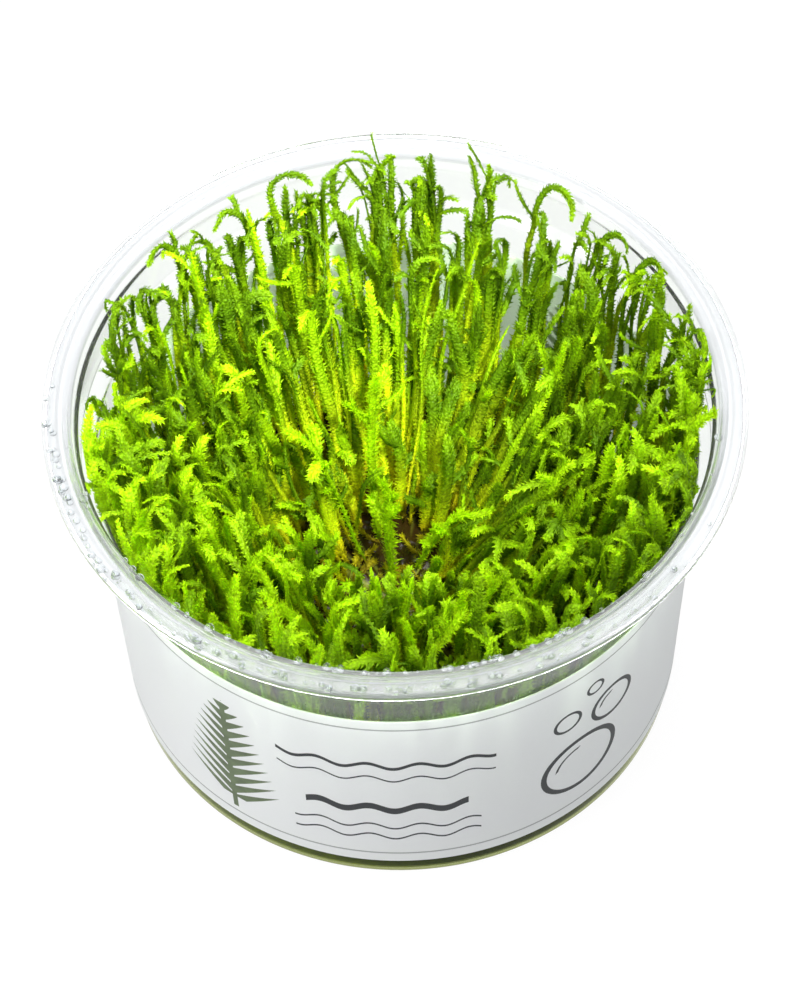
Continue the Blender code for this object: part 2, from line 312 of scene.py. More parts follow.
class Finish:
    """A material under construction: its nodes are added and joined with short calls."""

    def __init__(self, name):
        self.material = bpy.data.materials.new(name)
        self.material.use_nodes = True
        self.tree = self.material.node_tree
        self.shader = self.tree.nodes["Principled BSDF"]

    def join(self, value, socket):
        if isinstance(value, bpy.types.NodeSocket):
            self.tree.links.new(value, socket)
        elif value is not None:
            socket.default_value = value

    def node(self, kind, **inputs):
        made = self.tree.nodes.new(kind)
        for name, value in inputs.items():
            self.join(value, made.inputs[name.replace("_", " ")])
        return made

    def math(self, operation, first, second=None, third=None):
        made = self.tree.nodes.new("ShaderNodeMath")
        made.operation = operation
        for value, socket in zip((first, second, third), made.inputs):
            self.join(value, socket)
        return made.outputs[0]

    def times(self, first, second, added=None):
        return self.math("MULTIPLY" if added is None else "MULTIPLY_ADD", first, second, added)

    def minus(self, first, second):
        return self.math("SUBTRACT", first, second)

    def below(self, value, limit):
        return self.math("LESS_THAN", value, limit)

    def above(self, value, limit):
        return self.math("GREATER_THAN", value, limit)

    def all_of(self, *tests):
        result = tests[0]
        for test in tests[1:]:
            result = self.times(result, test)
        return result

    def any_of(self, *tests):
        result = tests[0]
        for test in tests[1:]:
            result = self.math("MAXIMUM", result, test)
        return result

    def between(self, value, low, high):
        return self.all_of(self.above(value, low), self.below(value, high))

    def mix(self, factor, first, second):
        made = self.tree.nodes.new("ShaderNodeMix")
        made.data_type = "RGBA"
        self.join(factor, made.inputs["Factor"])
        for value, socket in ((first, made.inputs[6]), (second, made.inputs[7])):
            self.join(value if isinstance(value, bpy.types.NodeSocket) else (*value, 1.0), socket)
        return made.outputs[2]

    def ramp(self, factor, stops):
        made = self.tree.nodes.new("ShaderNodeValToRGB")
        self.join(factor, made.inputs[0])
        elements = made.color_ramp.elements
        for place, _ in stops[2:]:
            elements.new(place)
        for element, (place, shade) in zip(elements, stops):
            element.position = place
            element.color = (*shade, 1.0)
        return made.outputs[0]

    def object_place(self):
        return self.tree.nodes.new("ShaderNodeTexCoord").outputs["Object"]

    def noise(self, scale, detail=3.0, roughness=0.5):
        made = self.node("ShaderNodeTexNoise", Vector=self.object_place(), Scale=scale, Detail=detail,
                         Roughness=roughness)
        return made.outputs[0]

    def bump(self, height, distance):
        made = self.node("ShaderNodeBump", Height=height, Distance=distance)
        self.join(made.outputs[0], self.shader.inputs["Normal"])

    def set(self, **inputs):
        for name, value in inputs.items():
            self.join(value, self.shader.inputs[name.replace("_", " ")])

    def add_translucence(self, shade, amount):
        """Lets light from behind through, as a thin leaf or film does."""
        through = self.node("ShaderNodeBsdfTranslucent", Color=shade)
        both = self.tree.nodes.new("ShaderNodeMixShader")
        both.inputs[0].default_value = amount
        self.tree.links.new(self.shader.outputs[0], both.inputs[1])
        self.tree.links.new(through.outputs[0], both.inputs[2])
        self.tree.links.new(both.outputs[0], self.tree.nodes["Material Output"].inputs["Surface"])


def clear_plastic(name, tint, milk, mist):
    """Clear plastic: milk is the share of light that it scatters, mist the roughness that dew gives it."""
    finish = Finish(name)
    finish.set(Transmission_Weight=1.0 - milk, IOR=1.34)
    finish.set(Base_Color=finish.mix(finish.noise(60.0), tint, [part * 0.975 for part in tint]))
    cloud = finish.times(finish.noise(180.0, 4.0), 0.10, mist - 0.05)
    finish.set(Roughness=finish.math("MAXIMUM", cloud, 0.01))
    return finish.material


def gel_backed_plastic():
    """The foot's plastic, which hardly reflects because wet gel lies against it; its dark olive tint is
    partly the gel showing through and partly painted shade under the cup.
    """
    tint = settings().cup.foot_gel_and_shade_tint
    finish = Finish("gel_backed_plastic")
    finish.set(Transmission_Weight=1.0, IOR=1.10, Roughness=0.08)
    finish.set(Base_Color=finish.mix(finish.noise(120.0), tint, [part * 0.85 for part in tint]))
    return finish.material


def label_print():
    """White film with a frond, lines of waves and a few bubbles, drawn from arcs and folded bands."""
    look = settings().label
    finish = Finish("label_print")
    place = finish.node("ShaderNodeSeparateXYZ", Vector=finish.object_place())
    turn = finish.math("ARCTAN2", place.outputs[0], finish.times(place.outputs[1], -1.0))
    half = finish.math("FLOORED_MODULO", finish.math("ADD", turn, math.pi / 2), math.pi)
    arc = finish.times(finish.minus(half, math.pi / 2), LABEL_RADIUS_MM)
    rise = finish.times(place.outputs[2], 1000.0)

    def span(value, middle=None):
        return finish.math("ABSOLUTE", value if middle is None else finish.minus(value, middle))

    def circle(middle, height, radius, half_thick):
        across, up = finish.minus(arc, middle), finish.minus(rise, height)
        away = finish.math("SQRT", finish.math("ADD", finish.times(across, across), finish.times(up, up)))
        return finish.below(span(away, radius), half_thick)

    # Frond: leaflets are one slanted stripe, repeated up the stem and cut by a tapering outline
    across, up = span(arc, FROND_PLACE[0]), finish.minus(rise, FROND_PLACE[1])
    left = finish.math("MAXIMUM", finish.times(up, -1 / FROND_HEIGHT, 1.0), 0.0)
    reach = finish.math("MAXIMUM", finish.times(finish.math("SQRT", left), FROND_REACH), 0.01)
    slant = finish.times(across, -LEAFLET_SLANT, up)
    stripe = span(finish.math("FLOORED_MODULO", slant, LEAFLET_SPACING), LEAFLET_SPACING / 2)
    thick = finish.times(finish.minus(1.0, finish.math("DIVIDE", across, reach)), 1.15)
    leaflets = finish.all_of(finish.below(stripe, thick), finish.between(up, 2.0, FROND_HEIGHT),
                             finish.above(slant, 0.0))
    stem = finish.all_of(finish.below(across, STEM_HALF_THICK), finish.between(up, -1.0, STEM_TOP))

    swell = finish.times(finish.math("SINE", finish.times(arc, WAVE_TURN)), -WAVE_SWELL, rise)
    along = span(arc, WAVES_MIDDLE)
    inked = [finish.all_of(finish.below(span(swell, height), half_thick), finish.below(along, half_long),
                           finish.below(place.outputs[1], 0.0))
             for height, half_thick, half_long in WAVES]
    inked += [circle(*bubble) for bubble in BUBBLES]
    # A glint is the upper left part of a smaller circle
    inked += [finish.all_of(circle(middle, height, radius, half_thick),
                            finish.above(finish.minus(rise, arc), height - middle + radius * 1.1))
              for middle, height, radius, half_thick in GLINTS]
    rules = finish.any_of(*(finish.between(rise, *rule) for rule in RULES))

    fade = finish.mix(finish.times(finish.noise(2600.0, 2.0), 0.10), look.film, (0.62, 0.66, 0.68))
    leafy = finish.mix(finish.noise(500.0, 2.0), look.leaf_ink, [3.0 * part for part in look.leaf_ink])
    printed = finish.mix(finish.any_of(leaflets, stem), fade, leafy)
    printed = finish.mix(finish.any_of(*inked, finish.times(rules, 0.6)), printed, look.ink)
    finish.set(Base_Color=printed, Roughness=0.38)
    finish.bump(finish.noise(300.0, 2.0), 0.00003)
    finish.add_translucence(printed, 0.43)
    return finish.material


def label_reverse():
    look = settings().label
    finish = Finish("label_reverse")
    # The film's inner side is tinted pale green: painted light from the moss
    shade = finish.mix(finish.noise(90.0), look.reverse, (0.86, 0.95, 0.78))
    finish.set(Base_Color=shade, Roughness=0.4)
    finish.add_translucence(shade, 0.90)
    return finish.material


def gel_finish(name, wet):
    look = settings().gel
    finish = Finish(name)
    height = finish.node("ShaderNodeSeparateXYZ", Vector=finish.object_place()).outputs[2]
    near_top = finish.times(finish.minus(height, GEL_TOP - 0.0014), 1000.0)
    near_top = finish.math("MINIMUM", finish.math("MAXIMUM", near_top, 0.0), 1.0)
    mottled = finish.mix(finish.noise(240.0, 5.0), look.top, (0.005, 0.003, 0.001))
    side = finish.mix(finish.noise(110.0), look.side, [part * 0.6 for part in look.side])
    finish.set(Base_Color=finish.mix(near_top, side, mottled), Roughness=0.14 if wet else 0.7,
               Specular_IOR_Level=0.25 if wet else 0.05)
    finish.bump(finish.noise(260.0, 2.0), 0.0006)
    return finish.material


def moss_leaf():
    """Leaf colour from the growth map: its first part is age, foot to tip, its second the shoot's shade,
    which carries painted backlight and painted shade besides the leaves' own greens.
    """
    look = settings().growth
    finish = Finish("moss_leaf")
    growth = finish.tree.nodes.new("ShaderNodeUVMap")
    growth.uv_map = "growth"
    parts = finish.node("ShaderNodeSeparateXYZ", Vector=growth.outputs[0])
    age, shade = parts.outputs[0], parts.outputs[1]

    def along(*stops):
        """Ramp over age: each stop is an age and one colour, or two and the share of the second."""
        shades = [(place, first if not rest else [a + (b - a) * rest[1] for a, b in zip(first, rest[0])])
                  for place, first, *rest in stops]
        return finish.ramp(age, shades)

    old, fading, backlit, deep_and_shaded = look.old, look.fading, look.backlit, look.deep_and_shaded
    mature, fresh = look.mature, look.fresh
    # by_wall: its yellow green low down is painted backlight; its tips, darkened towards deep green, are
    # painted shade of tips seen against the wall's light
    by_wall = along((0.00, old), (0.05, old, fading, 0.60), (0.14, fading), (0.38, backlit),
                    (0.60, backlit, mature, 0.45), (0.76, mature, deep_and_shaded, 0.22), (0.87, mature, deep_and_shaded, 0.74),
                    (1.00, mature, deep_and_shaded, 0.52))
    # thick: its deep green along the middle of the length is partly painted shade
    thick = along((0.00, old), (0.12, old, fading, 0.65), (0.32, fading, mature, 0.75),
                  (0.58, deep_and_shaded, mature, 0.12), (0.82, deep_and_shaded, mature, 0.30), (0.93, deep_and_shaded, mature, 0.90),
                  (1.00, mature, fresh, 0.60))
    lime = along((0.00, old), (0.14, fading), (0.40, fading, mature, 0.55), (0.62, mature, fresh, 0.40),
                 (0.84, mature, fresh, 0.90), (1.00, fresh))
    to_thick = finish.math("MINIMUM", finish.times(shade, 2.0), 1.0)
    to_lime = finish.math("MAXIMUM", finish.times(shade, 2.0, -1.0), 0.0)
    blade = finish.mix(to_lime, finish.mix(to_thick, by_wall, thick), lime)
    wilted = finish.all_of(finish.between(age, 0.12, 0.42), finish.above(finish.noise(95.0, 1.0), 0.69))
    blade = finish.mix(finish.times(wilted, 0.6), blade, look.wilted)
    scales = finish.node("ShaderNodeTexVoronoi", Vector=finish.object_place(), Scale=2300.0).outputs[0]
    # Painted highlights in the middles of the leaf scales and painted shade at their edges, where they
    # overlap
    scale_highlight_and_shade = finish.times(scales, -0.75, 1.34)
    patch = finish.times(finish.noise(420.0, 3.0, 0.6), 0.9, 0.55)
    shown = finish.node("ShaderNodeHueSaturation", Color=blade, Value=finish.times(scale_highlight_and_shade, patch)).outputs[0]
    finish.set(Base_Color=shown, Roughness=0.50, Specular_IOR_Level=0.18)
    finish.bump(scales, -0.00025)
    finish.add_translucence(shown, 0.58)
    return finish.material


def dew_water():
    finish = Finish("dew_water")
    finish.set(Base_Color=(0.97, 0.99, 1.0, 1.0), Transmission_Weight=1.0, IOR=1.333,
               Roughness=finish.times(finish.noise(800.0, 1.0), 0.04))
    return finish.material


# Modelling

def deselect():
    if bpy.context.object and bpy.context.object.mode != "OBJECT":
        bpy.ops.object.mode_set(mode="OBJECT")
    for thing in list(bpy.context.selected_objects):
        thing.select_set(False)


def finish_piece(piece, name, finishes, stands_for=()):
    """Names a piece, dresses it, attaches it to the root body and hides the solids it stands for."""
    piece.name = name
    piece.data.name = name
    piece.data.materials.clear()
    for finish in finishes:
        piece.data.materials.append(finish)
    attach(piece, "root")
    if stands_for:
        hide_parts(*stands_for)


def turned(outline, steps, closed=True):
    """Turns an outline of (radius, height) points about the cup's axis, as on a lathe."""
    deselect()
    bpy.ops.mesh.primitive_circle_add(vertices=len(outline), radius=0.01)
    piece = bpy.context.object
    for vert, (radius, height) in zip(piece.data.vertices, outline):
        vert.co = (radius, 0.0, height)
    if not closed:
        ends = {0, len(outline) - 1}
        for edge in piece.data.edges:
            edge.select = set(edge.vertices) == ends
        for vert in piece.data.vertices:
            vert.select = vert.index in ends
        bpy.ops.object.mode_set(mode="EDIT")
        bpy.ops.mesh.select_mode(type="EDGE")
        bpy.ops.mesh.delete(type="EDGE_FACE")
        bpy.ops.object.mode_set(mode="OBJECT")
    bpy.ops.object.mode_set(mode="EDIT")
    bpy.ops.mesh.select_mode(type="VERT")
    bpy.ops.mesh.select_all(action="SELECT")
    bpy.ops.mesh.spin(steps=steps, angle=math.tau, center=(0, 0, 0), axis=(0, 0, 1))
    bpy.ops.mesh.select_all(action="SELECT")
    bpy.ops.mesh.remove_doubles(threshold=1e-6)
    bpy.ops.mesh.select_all(action="SELECT")
    bpy.ops.mesh.normals_make_consistent(inside=False)
    bpy.ops.object.mode_set(mode="OBJECT")
    bpy.ops.object.shade_smooth_by_angle(angle=math.radians(38))
    return piece


def rounded(points, size, steps=3):
    """The same outline with each inner corner eased by size, or by less where its sides are short."""
    eased = [points[0]]
    for before, corner, after in zip(points, points[1:], points[2:]):
        before, corner, after = Vector(before), Vector(corner), Vector(after)
        back, on = before - corner, after - corner
        reach = min(size, back.length * 0.45, on.length * 0.45)
        first, last = corner + back.normalized() * reach, corner + on.normalized() * reach
        for step in range(steps + 1):
            along = step / steps
            low, high = first.lerp(corner, along), corner.lerp(last, along)
            eased.append(tuple(low.lerp(high, along)))
    eased.append(points[-1])
    return eased


def wall_outside(height):
    return WALL_FOOT_RADIUS + WALL_TAPER * height


def recess_inside(thickness):
    """The floor of the cup over the recess under its foot, from the middle out."""
    radius = RECESS_RADIUS + 0.0001
    return [(0.0, RECESS_DEPTH + thickness), (radius, RECESS_DEPTH + thickness),
            (radius + RECESS_DEPTH, thickness)]


def build_cup():
    look = settings().cup
    skirt = RIM_HEIGHT - 0.0014
    under = RIM_HEIGHT - 0.0008
    groove = RIM_HEIGHT - 0.00025
    inside = look.wall
    outline = recess_inside(inside) + [
        (wall_outside(0) - inside, inside),
        (wall_outside(LABEL_LOW[2]) - inside, LABEL_LOW[2]),
        (wall_outside(STEP_HEIGHT) - inside, STEP_HEIGHT - 0.0002),
        (COLLAR_RADIUS - inside, STEP_HEIGHT + 0.0012),
        (COLLAR_RADIUS - inside, under - 0.0018),
        (RIM_INNER_RADIUS, under - 0.0006),
        # Top of the flange, with its shallow groove
        (RIM_INNER_RADIUS, RIM_HEIGHT),
        (RIM_INNER_RADIUS + 0.0010, RIM_HEIGHT),
        (RIM_INNER_RADIUS + 0.0014, groove),
        (RIM_INNER_RADIUS + 0.0018, groove),
        (RIM_INNER_RADIUS + 0.0022, RIM_HEIGHT),
        (RIM_RADIUS, RIM_HEIGHT),
        # Skirt and underside
        (RIM_RADIUS, skirt),
        (RIM_RADIUS - 0.0007, skirt),
        (RIM_RADIUS - 0.0007, under),
        (COLLAR_RADIUS + 0.0010, under),
        # Collar, step, wall and foot from outside
        (COLLAR_RADIUS, under - 0.0014),
        (COLLAR_RADIUS, STEP_HEIGHT + 0.0004),
        (wall_outside(STEP_HEIGHT), STEP_HEIGHT - 0.0006),
        (wall_outside(LABEL_LOW[2]), LABEL_LOW[2]),
        (wall_outside(0), 0.0),
        (RECESS_RADIUS + RECESS_DEPTH, 0.0),
        (RECESS_RADIUS, RECESS_DEPTH),
        (0.0, RECESS_DEPTH),
    ]
    corner = 0.00045
    piece = turned(rounded(outline, corner), look.steps, closed=False)
    finishes = [clear_plastic("clear_plastic", look.tint, look.milk, look.haze), gel_backed_plastic(),
                clear_plastic("misted_plastic", look.flange_tint, look.flange_milk, look.flange_haze)]
    finish_piece(piece, "clear_cup", finishes, ["cup"])
    # Faces under the label take the foot's plastic with its painted shade, faces above the misted line the
    # misted flange
    for face in piece.data.polygons:
        gel_and_shade_foot, misted = face.center.z < LABEL_LOW[2], face.center.z > MISTED_FROM
        face.material_index = 1 if gel_and_shade_foot else 2 if misted else 0
    let_lamps_through(piece)


def let_lamps_through(piece):
    """Lets the lamps shine through a clear piece, and keeps the spot's glare off it."""
    clear = bpy.data.collections.new("clear_pieces")
    clear.objects.link(piece)
    clear.collection_objects[0].light_linking.link_state = "EXCLUDE"
    for name in (*AREA_LAMPS, "mouth_light"):
        bpy.data.objects[name].light_linking.blocker_collection = clear
    bpy.data.objects["mouth_light"].light_linking.receiver_collection = clear


def build_label():
    gap, thickness = 0.0002, 0.00015
    low, high = LABEL_LOW[2], LABEL_HIGH[2]
    outline = [(wall_outside(high) + gap + thickness, high), (wall_outside(low) + gap + thickness, low),
               (wall_outside(low) + gap, low), (wall_outside(high) + gap, high)]
    piece = turned(outline, settings().cup.steps)
    finish_piece(piece, "film_label", [label_print(), label_reverse()], ["label"])
    for face in piece.data.polygons:
        outward = Vector((face.center.x, face.center.y, 0.0)).normalized()
        face.material_index = 0 if face.normal.dot(outward) > 0.5 else 1


def build_gel():
    """The gel fills the cup's foot and creeps a little up the wall; its top is uneven."""
    inside = settings().cup.wall + 0.00002
    edge = wall_outside(GEL_TOP) - inside
    outline = [(radius, GEL_TOP - sag) for radius, sag in (
        (0.0, 0.0006), (0.008, 0.0005), (0.016, 0.0003), (0.024, 0.0002), (0.032, 0.0002), (0.038, 0.0002),
        (edge - 0.0006, 0.0001), (edge, -0.0006))]
    outline += [(wall_outside(0) - inside, inside), *recess_inside(inside)[::-1]]
    piece = turned(outline, 96, closed=False)
    chance = np.random.default_rng(4)
    uneven_within, pressed_from = 0.0375, 0.0400
    for vert in piece.data.vertices:
        radius = math.hypot(vert.co.x, vert.co.y)
        if vert.co.z > GEL_TOP - 0.0012 and radius < uneven_within:
            vert.co.z += chance.uniform(-0.0005, 0.0004)
    finishes = [gel_finish("wet_gel", True), gel_finish("pressed_gel", False)]
    finish_piece(piece, "set_gel", finishes, ["growth_gel"])
    for face in piece.data.polygons:
        by_wall = math.hypot(face.center.x, face.center.y) > pressed_from
        face.material_index = 1 if by_wall or face.normal.z < -0.5 else 0


# Moss

def unit(ways):
    return ways / np.maximum(np.linalg.norm(ways, axis=-1, keepdims=True), 1e-12)


def ways_out(direction):
    """Level ways away from the cup's axis."""
    return np.stack([np.cos(direction), np.sin(direction), np.zeros(len(direction))], axis=-1)


def round_the_hollow(direction, radius, height):
    """Places at one height round the middle of the hollow."""
    return np.stack([-HOLLOW_LEFT + radius * np.cos(direction), HOLLOW_BACK[0] + radius * np.sin(direction),
                     np.full(len(direction), height)], axis=-1)


def fan_point(out_share, direction, height):
    """Where a shoot of the fan passes a height: out_share is 0 at the hollow's edge and 1 at the wall."""
    rise = (height - GEL_TOP) / (RIM_HEIGHT - GEL_TOP)
    hollow = HOLLOW_RADIUS[0] + (HOLLOW_RADIUS[1] - HOLLOW_RADIUS[0]) * rise
    back = HOLLOW_BACK[0] + (HOLLOW_BACK[1] - HOLLOW_BACK[0]) * rise
    outer = np.interp(height, ROOM_HEIGHTS, ROOM_RADII) - WALL_CLEARANCE
    radius = hollow + (outer - hollow) * out_share
    return np.stack([-HOLLOW_LEFT * (1 - out_share) + radius * np.cos(direction),
                     back * (1 - out_share) + radius * np.sin(direction), height], axis=-1)


def kept_inside(points, margin):
    """Draws points that leave the cup's room in towards its axis, and lifts them out of the gel."""
    room = np.interp(points[..., 2], ROOM_HEIGHTS, ROOM_RADII) - margin
    radius = np.maximum(np.hypot(points[..., 0], points[..., 1]), 1e-9)
    kept = points.copy()
    kept[..., :2] *= np.minimum(room / radius, 1.0)[..., None]
    kept[..., 2] = np.clip(kept[..., 2], GEL_TOP - GEL_SAG, CAD_BOX[1][2])
    return kept


class Shoots:
    """Shoots of one make: the line that each grows along, its flat side, width and shade."""
    # How wide a shoot is along its length, as shares of both
    TAPER = (0.0, 0.12, 0.50, 0.88, 0.97, 1.0), (0.40, 0.75, 1.0, 0.86, 0.50, 0.10)

    def __init__(self, line, side, width, shade, chance, age=(0.0, 1.0), leafy_from=0.0, roll=0.0):
        self.count, self.rings = line.shape[:2]
        self.width, self.shade, self.age = width, shade, age
        self.leafy_from = np.broadcast_to(leafy_from, self.count)
        self.line = kept_inside(line, (width * 0.35)[:, None])
        self.along = ring_places(self.rings)
        self.tangent = unit(np.gradient(self.line, axis=1))
        flat = unit(side + chance.normal(0.0, 0.25, (self.count, 3)))[:, None]
        level = unit(flat - (flat * self.tangent).sum(-1, keepdims=True) * self.tangent)
        roll = np.broadcast_to(roll, self.count)[:, None, None]
        self.across = np.cos(roll) * level + np.sin(roll) * np.cross(self.tangent, level)
        self.facing = np.cross(self.tangent, self.across)
        self.size = np.interp(self.along, *self.TAPER)

    def at(self, along):
        """Place, tangent, across, facing and relative width at shares along each shoot."""
        place = np.interp(along, self.along, np.arange(self.rings))
        low = np.minimum(place.astype(int), self.rings - 2)
        rest = (place - low)[..., None]
        row = np.arange(self.count)[:, None]
        found = [grid[row, low] * (1 - rest) + grid[row, low + 1] * rest
                 for grid in (self.line, self.tangent, self.across, self.facing)]
        size = self.size[low] * (1 - rest[..., 0]) + self.size[low + 1] * rest[..., 0]
        return found + [size]

    def ages(self, along):
        return self.age[0] + (self.age[1] - self.age[0]) * along

    def taken(self, chosen):
        """The same shoots without those that are not chosen."""
        own = copy.copy(self)
        for name in ("width", "shade", "leafy_from", "line", "tangent", "across", "facing"):
            setattr(own, name, getattr(self, name)[chosen])
        own.count = len(own.line)
        return own


def ring_places(rings):
    """Shares of a shoot's length at which its rings sit: closer together towards the tip."""
    return 1.0 - (1.0 - np.linspace(0.0, 1.0, rings)) ** 1.6


def bent_lines(start, heading, reach, bend_way, bend, bend_from, chance, rings, sway=0.05):
    """Lines that set out straight and bend over from a share of their length on; also their flat side."""
    along = ring_places(rings)[None, :]
    late = np.clip((along - bend_from[:, None]) / (1.0 - bend_from[:, None]), 0.0, 1.0)
    angle = bend[:, None] * late ** 1.2
    side = unit(np.cross(heading, bend_way))
    way = np.cos(angle)[..., None] * heading[:, None] + np.sin(angle)[..., None] * bend_way[:, None]
    for axis in (side, bend_way):
        beat = chance.uniform(1.0, 2.4, (len(start), 1))
        start_at = chance.uniform(0.0, math.tau, (len(start), 1))
        way += (sway * np.sin(beat * along * math.tau + start_at))[..., None] * axis[:, None]
    way = unit(way)
    steps = (way[:, 1:] + way[:, :-1]) / 2 * (reach[:, None] * np.diff(along))[..., None]
    return np.concatenate([start[:, None], start[:, None] + np.cumsum(steps, axis=1)], axis=1), side


def square_to(ways, heading):
    """The part of ways that is square to the heading."""
    return unit(ways - (ways * heading).sum(-1, keepdims=True) * heading)


class Growth:
    """Collects the mesh of many shoots as arrays: places, faces and the growth map."""

    def __init__(self):
        self.places, self.corners, self.sizes, self.maps = [], [], [], []
        self.total = 0

    def add(self, places, growth, *groups):
        """Adds places, their growth, and groups of faces, each face a row of indices into places."""
        self.places.append(places)
        for faces in groups:
            self.corners.append((faces + self.total).ravel())
            self.sizes.append(np.full(len(faces), faces.shape[1]))
            self.maps.append(growth[faces.ravel()])
        self.total += len(places)

    def add_bodies(self, shoots, chance, sides):
        """Flat, tapering bodies with a closed foot and tip."""
        turns = np.arange(sides) * math.tau / sides
        wide = shoots.width[:, None, None] / 2 * shoots.size[None, :, None]
        wide = wide * chance.uniform(0.84, 1.12, (shoots.count, shoots.rings, sides))
        thick = wide * settings().growth.flatness
        places = (shoots.line[:, :, None] + (wide * np.cos(turns))[..., None] * shoots.across[:, :, None]
                  + (thick * np.sin(turns))[..., None] * shoots.facing[:, :, None])
        ring, side = np.meshgrid(np.arange(shoots.rings - 1), np.arange(sides), indexing="ij")
        after = (side + 1) % sides
        quads = np.stack([ring * sides + side, ring * sides + after, (ring + 1) * sides + after,
                          (ring + 1) * sides + side], axis=-1).reshape(-1, 4)
        first_of_each = np.arange(shoots.count) * shoots.rings * sides
        growth = np.empty((shoots.count, shoots.rings, sides, 2))
        growth[..., 0] = shoots.ages(shoots.along)[None, :, None] + 0.004 * np.cos(turns)
        growth[..., 1] = shoots.shade[:, None, None] - 0.03 + 0.012 * np.sin(turns)
        foot, tip = np.arange(sides)[::-1], (shoots.rings - 1) * sides + np.arange(sides)
        self.add(kept_inside(places.reshape(-1, 3), 0.00005), growth.reshape(-1, 2),
                 (quads[None] + first_of_each[:, None, None]).reshape(-1, 4),
                 foot[None] + first_of_each[:, None], tip[None] + first_of_each[:, None])

    def add_leaves(self, shoots, first, per_shoot, scale, chance, folded=False):
        """Pointed leaves in rows down the edges and both faces; the folded ones at a tip are longer."""
        look = settings().growth
        width = look.leaf_width * (0.72 if folded else 1.0)
        length = (look.tip_leaf_length if folded else look.leaf_length) * scale
        shape = (shoots.count, per_shoot)
        first = first[:, None]
        along = first + (1.0 - first) * (np.arange(per_shoot) + chance.random(shape)) / per_shoot
        middle, tangent, across, facing, size = shoots.at(np.minimum(along, 0.999))
        rows = np.array([0.0, math.pi, math.pi / 2, math.pi, 0.0, -math.pi / 2])
        turn = rows[np.arange(per_shoot) % len(rows)][None]
        turn = turn + chance.normal(0.0, 0.20 if folded else 0.32, shape)
        outward = np.cos(turn)[..., None] * across + np.sin(turn)[..., None] * facing
        at_edge = np.abs(np.cos(turn))
        spread = np.radians((26 if folded else 17) + 38 * at_edge) * (1 - 0.45 * along ** 8)
        spread += chance.normal(0.0, 0.16, shape)
        way = unit(outward * np.sin(spread)[..., None] + tangent * np.cos(spread)[..., None]
                   + chance.normal(0.0, 0.10, (*shape, 3)))
        sunk = shoots.width[:, None] / 2 * size * 0.86
        foot = (middle + (sunk * np.cos(turn))[..., None] * across
                + (sunk * look.flatness * np.sin(turn))[..., None] * facing)
        long = length * chance.uniform(0.65, 1.25, shape) * np.clip(0.6 + size * 0.45, 0.0, 1.0)
        long = (long * np.clip(shoots.width / look.shoot_width, 0.6, 1.15)[:, None])[..., None]
        lay = unit(np.cross(way, facing))
        raised = np.cross(lay, way) * (width * 0.22)
        wide = lay * (width / 2 * chance.uniform(0.8, 1.2, shape))[..., None]
        curl = outward * (long * chance.uniform(-0.15, 0.20, shape)[..., None])
        tip = foot + way * long + curl
        if folded:
            belly = foot + way * long * 0.40
            points = [foot, belly + wide + raised, tip, belly - wide + raised]
            flat = np.array([[0, 1, 2], [0, 2, 3]])
            aged, shaded = [-0.012, 0.0, 0.022, 0.0], [0.0, 0.012, 0.02, -0.012]
        else:
            points = [foot - wide * 1.1, foot + wide * 1.1 + raised, tip]
            flat = np.array([[0, 1, 2]])
            aged, shaded = [-0.012, 0.0, 0.022], [-0.012, 0.012, 0.02]
        base = np.arange(shoots.count * per_shoot)[:, None, None] * len(points)
        age = shoots.ages(along)[..., None] + np.array(aged)
        shade = (shoots.shade[:, None] + chance.normal(0.0, 0.035, shape))[..., None] + np.array(shaded)
        growth = np.clip(np.stack([age, shade], axis=-1), 0.002, 0.998).reshape(-1, 2)
        places = kept_inside(np.stack(points, axis=2).reshape(-1, 3), 0.00002)
        self.add(places, growth, (flat[None] + base).reshape(-1, 3))

    def grow(self, shoots, leaves, chance, sides=6, scale=1.0):
        """Adds shoots with their leaves: so many along each, then so many longer ones round its tip."""
        self.add_bodies(shoots, chance, sides)
        self.add_leaves(shoots, shoots.leafy_from, leaves[0], scale, chance)
        self.add_leaves(shoots, np.full(shoots.count, TIP_FROM), leaves[1], scale, chance, folded=True)

    def make(self, name, stands_for, finish):
        places = np.concatenate(self.places)
        corners = np.concatenate(self.corners).astype(np.int32)
        sizes = np.concatenate(self.sizes).astype(np.int32)
        mesh = bpy.data.meshes.new(name)
        mesh.vertices.add(len(places))
        mesh.vertices.foreach_set("co", places.astype(np.float32).ravel())
        mesh.loops.add(len(corners))
        mesh.loops.foreach_set("vertex_index", corners)
        mesh.polygons.add(len(sizes))
        mesh.polygons.foreach_set("loop_start", np.concatenate([[0], np.cumsum(sizes)[:-1]]).astype(np.int32))
        mesh.update(calc_edges=True)
        growth = np.clip(np.concatenate(self.maps), 0.001, 0.999).astype(np.float32).ravel()
        for layer in ("growth", "OFBake"):
            mesh.uv_layers.new(name=layer).data.foreach_set("uv", growth)
        mesh.polygons.foreach_set("use_smooth", sizes >= 4)
        if mesh.validate():
            raise RuntimeError(f"{name} has faces that don't hold together")
        piece = bpy.data.objects.new(name, mesh)
        bpy.context.scene.collection.objects.link(piece)
        print(f"{name}: {(sizes - 2).sum()} triangles")
        finish_piece(piece, name, [finish], stands_for)


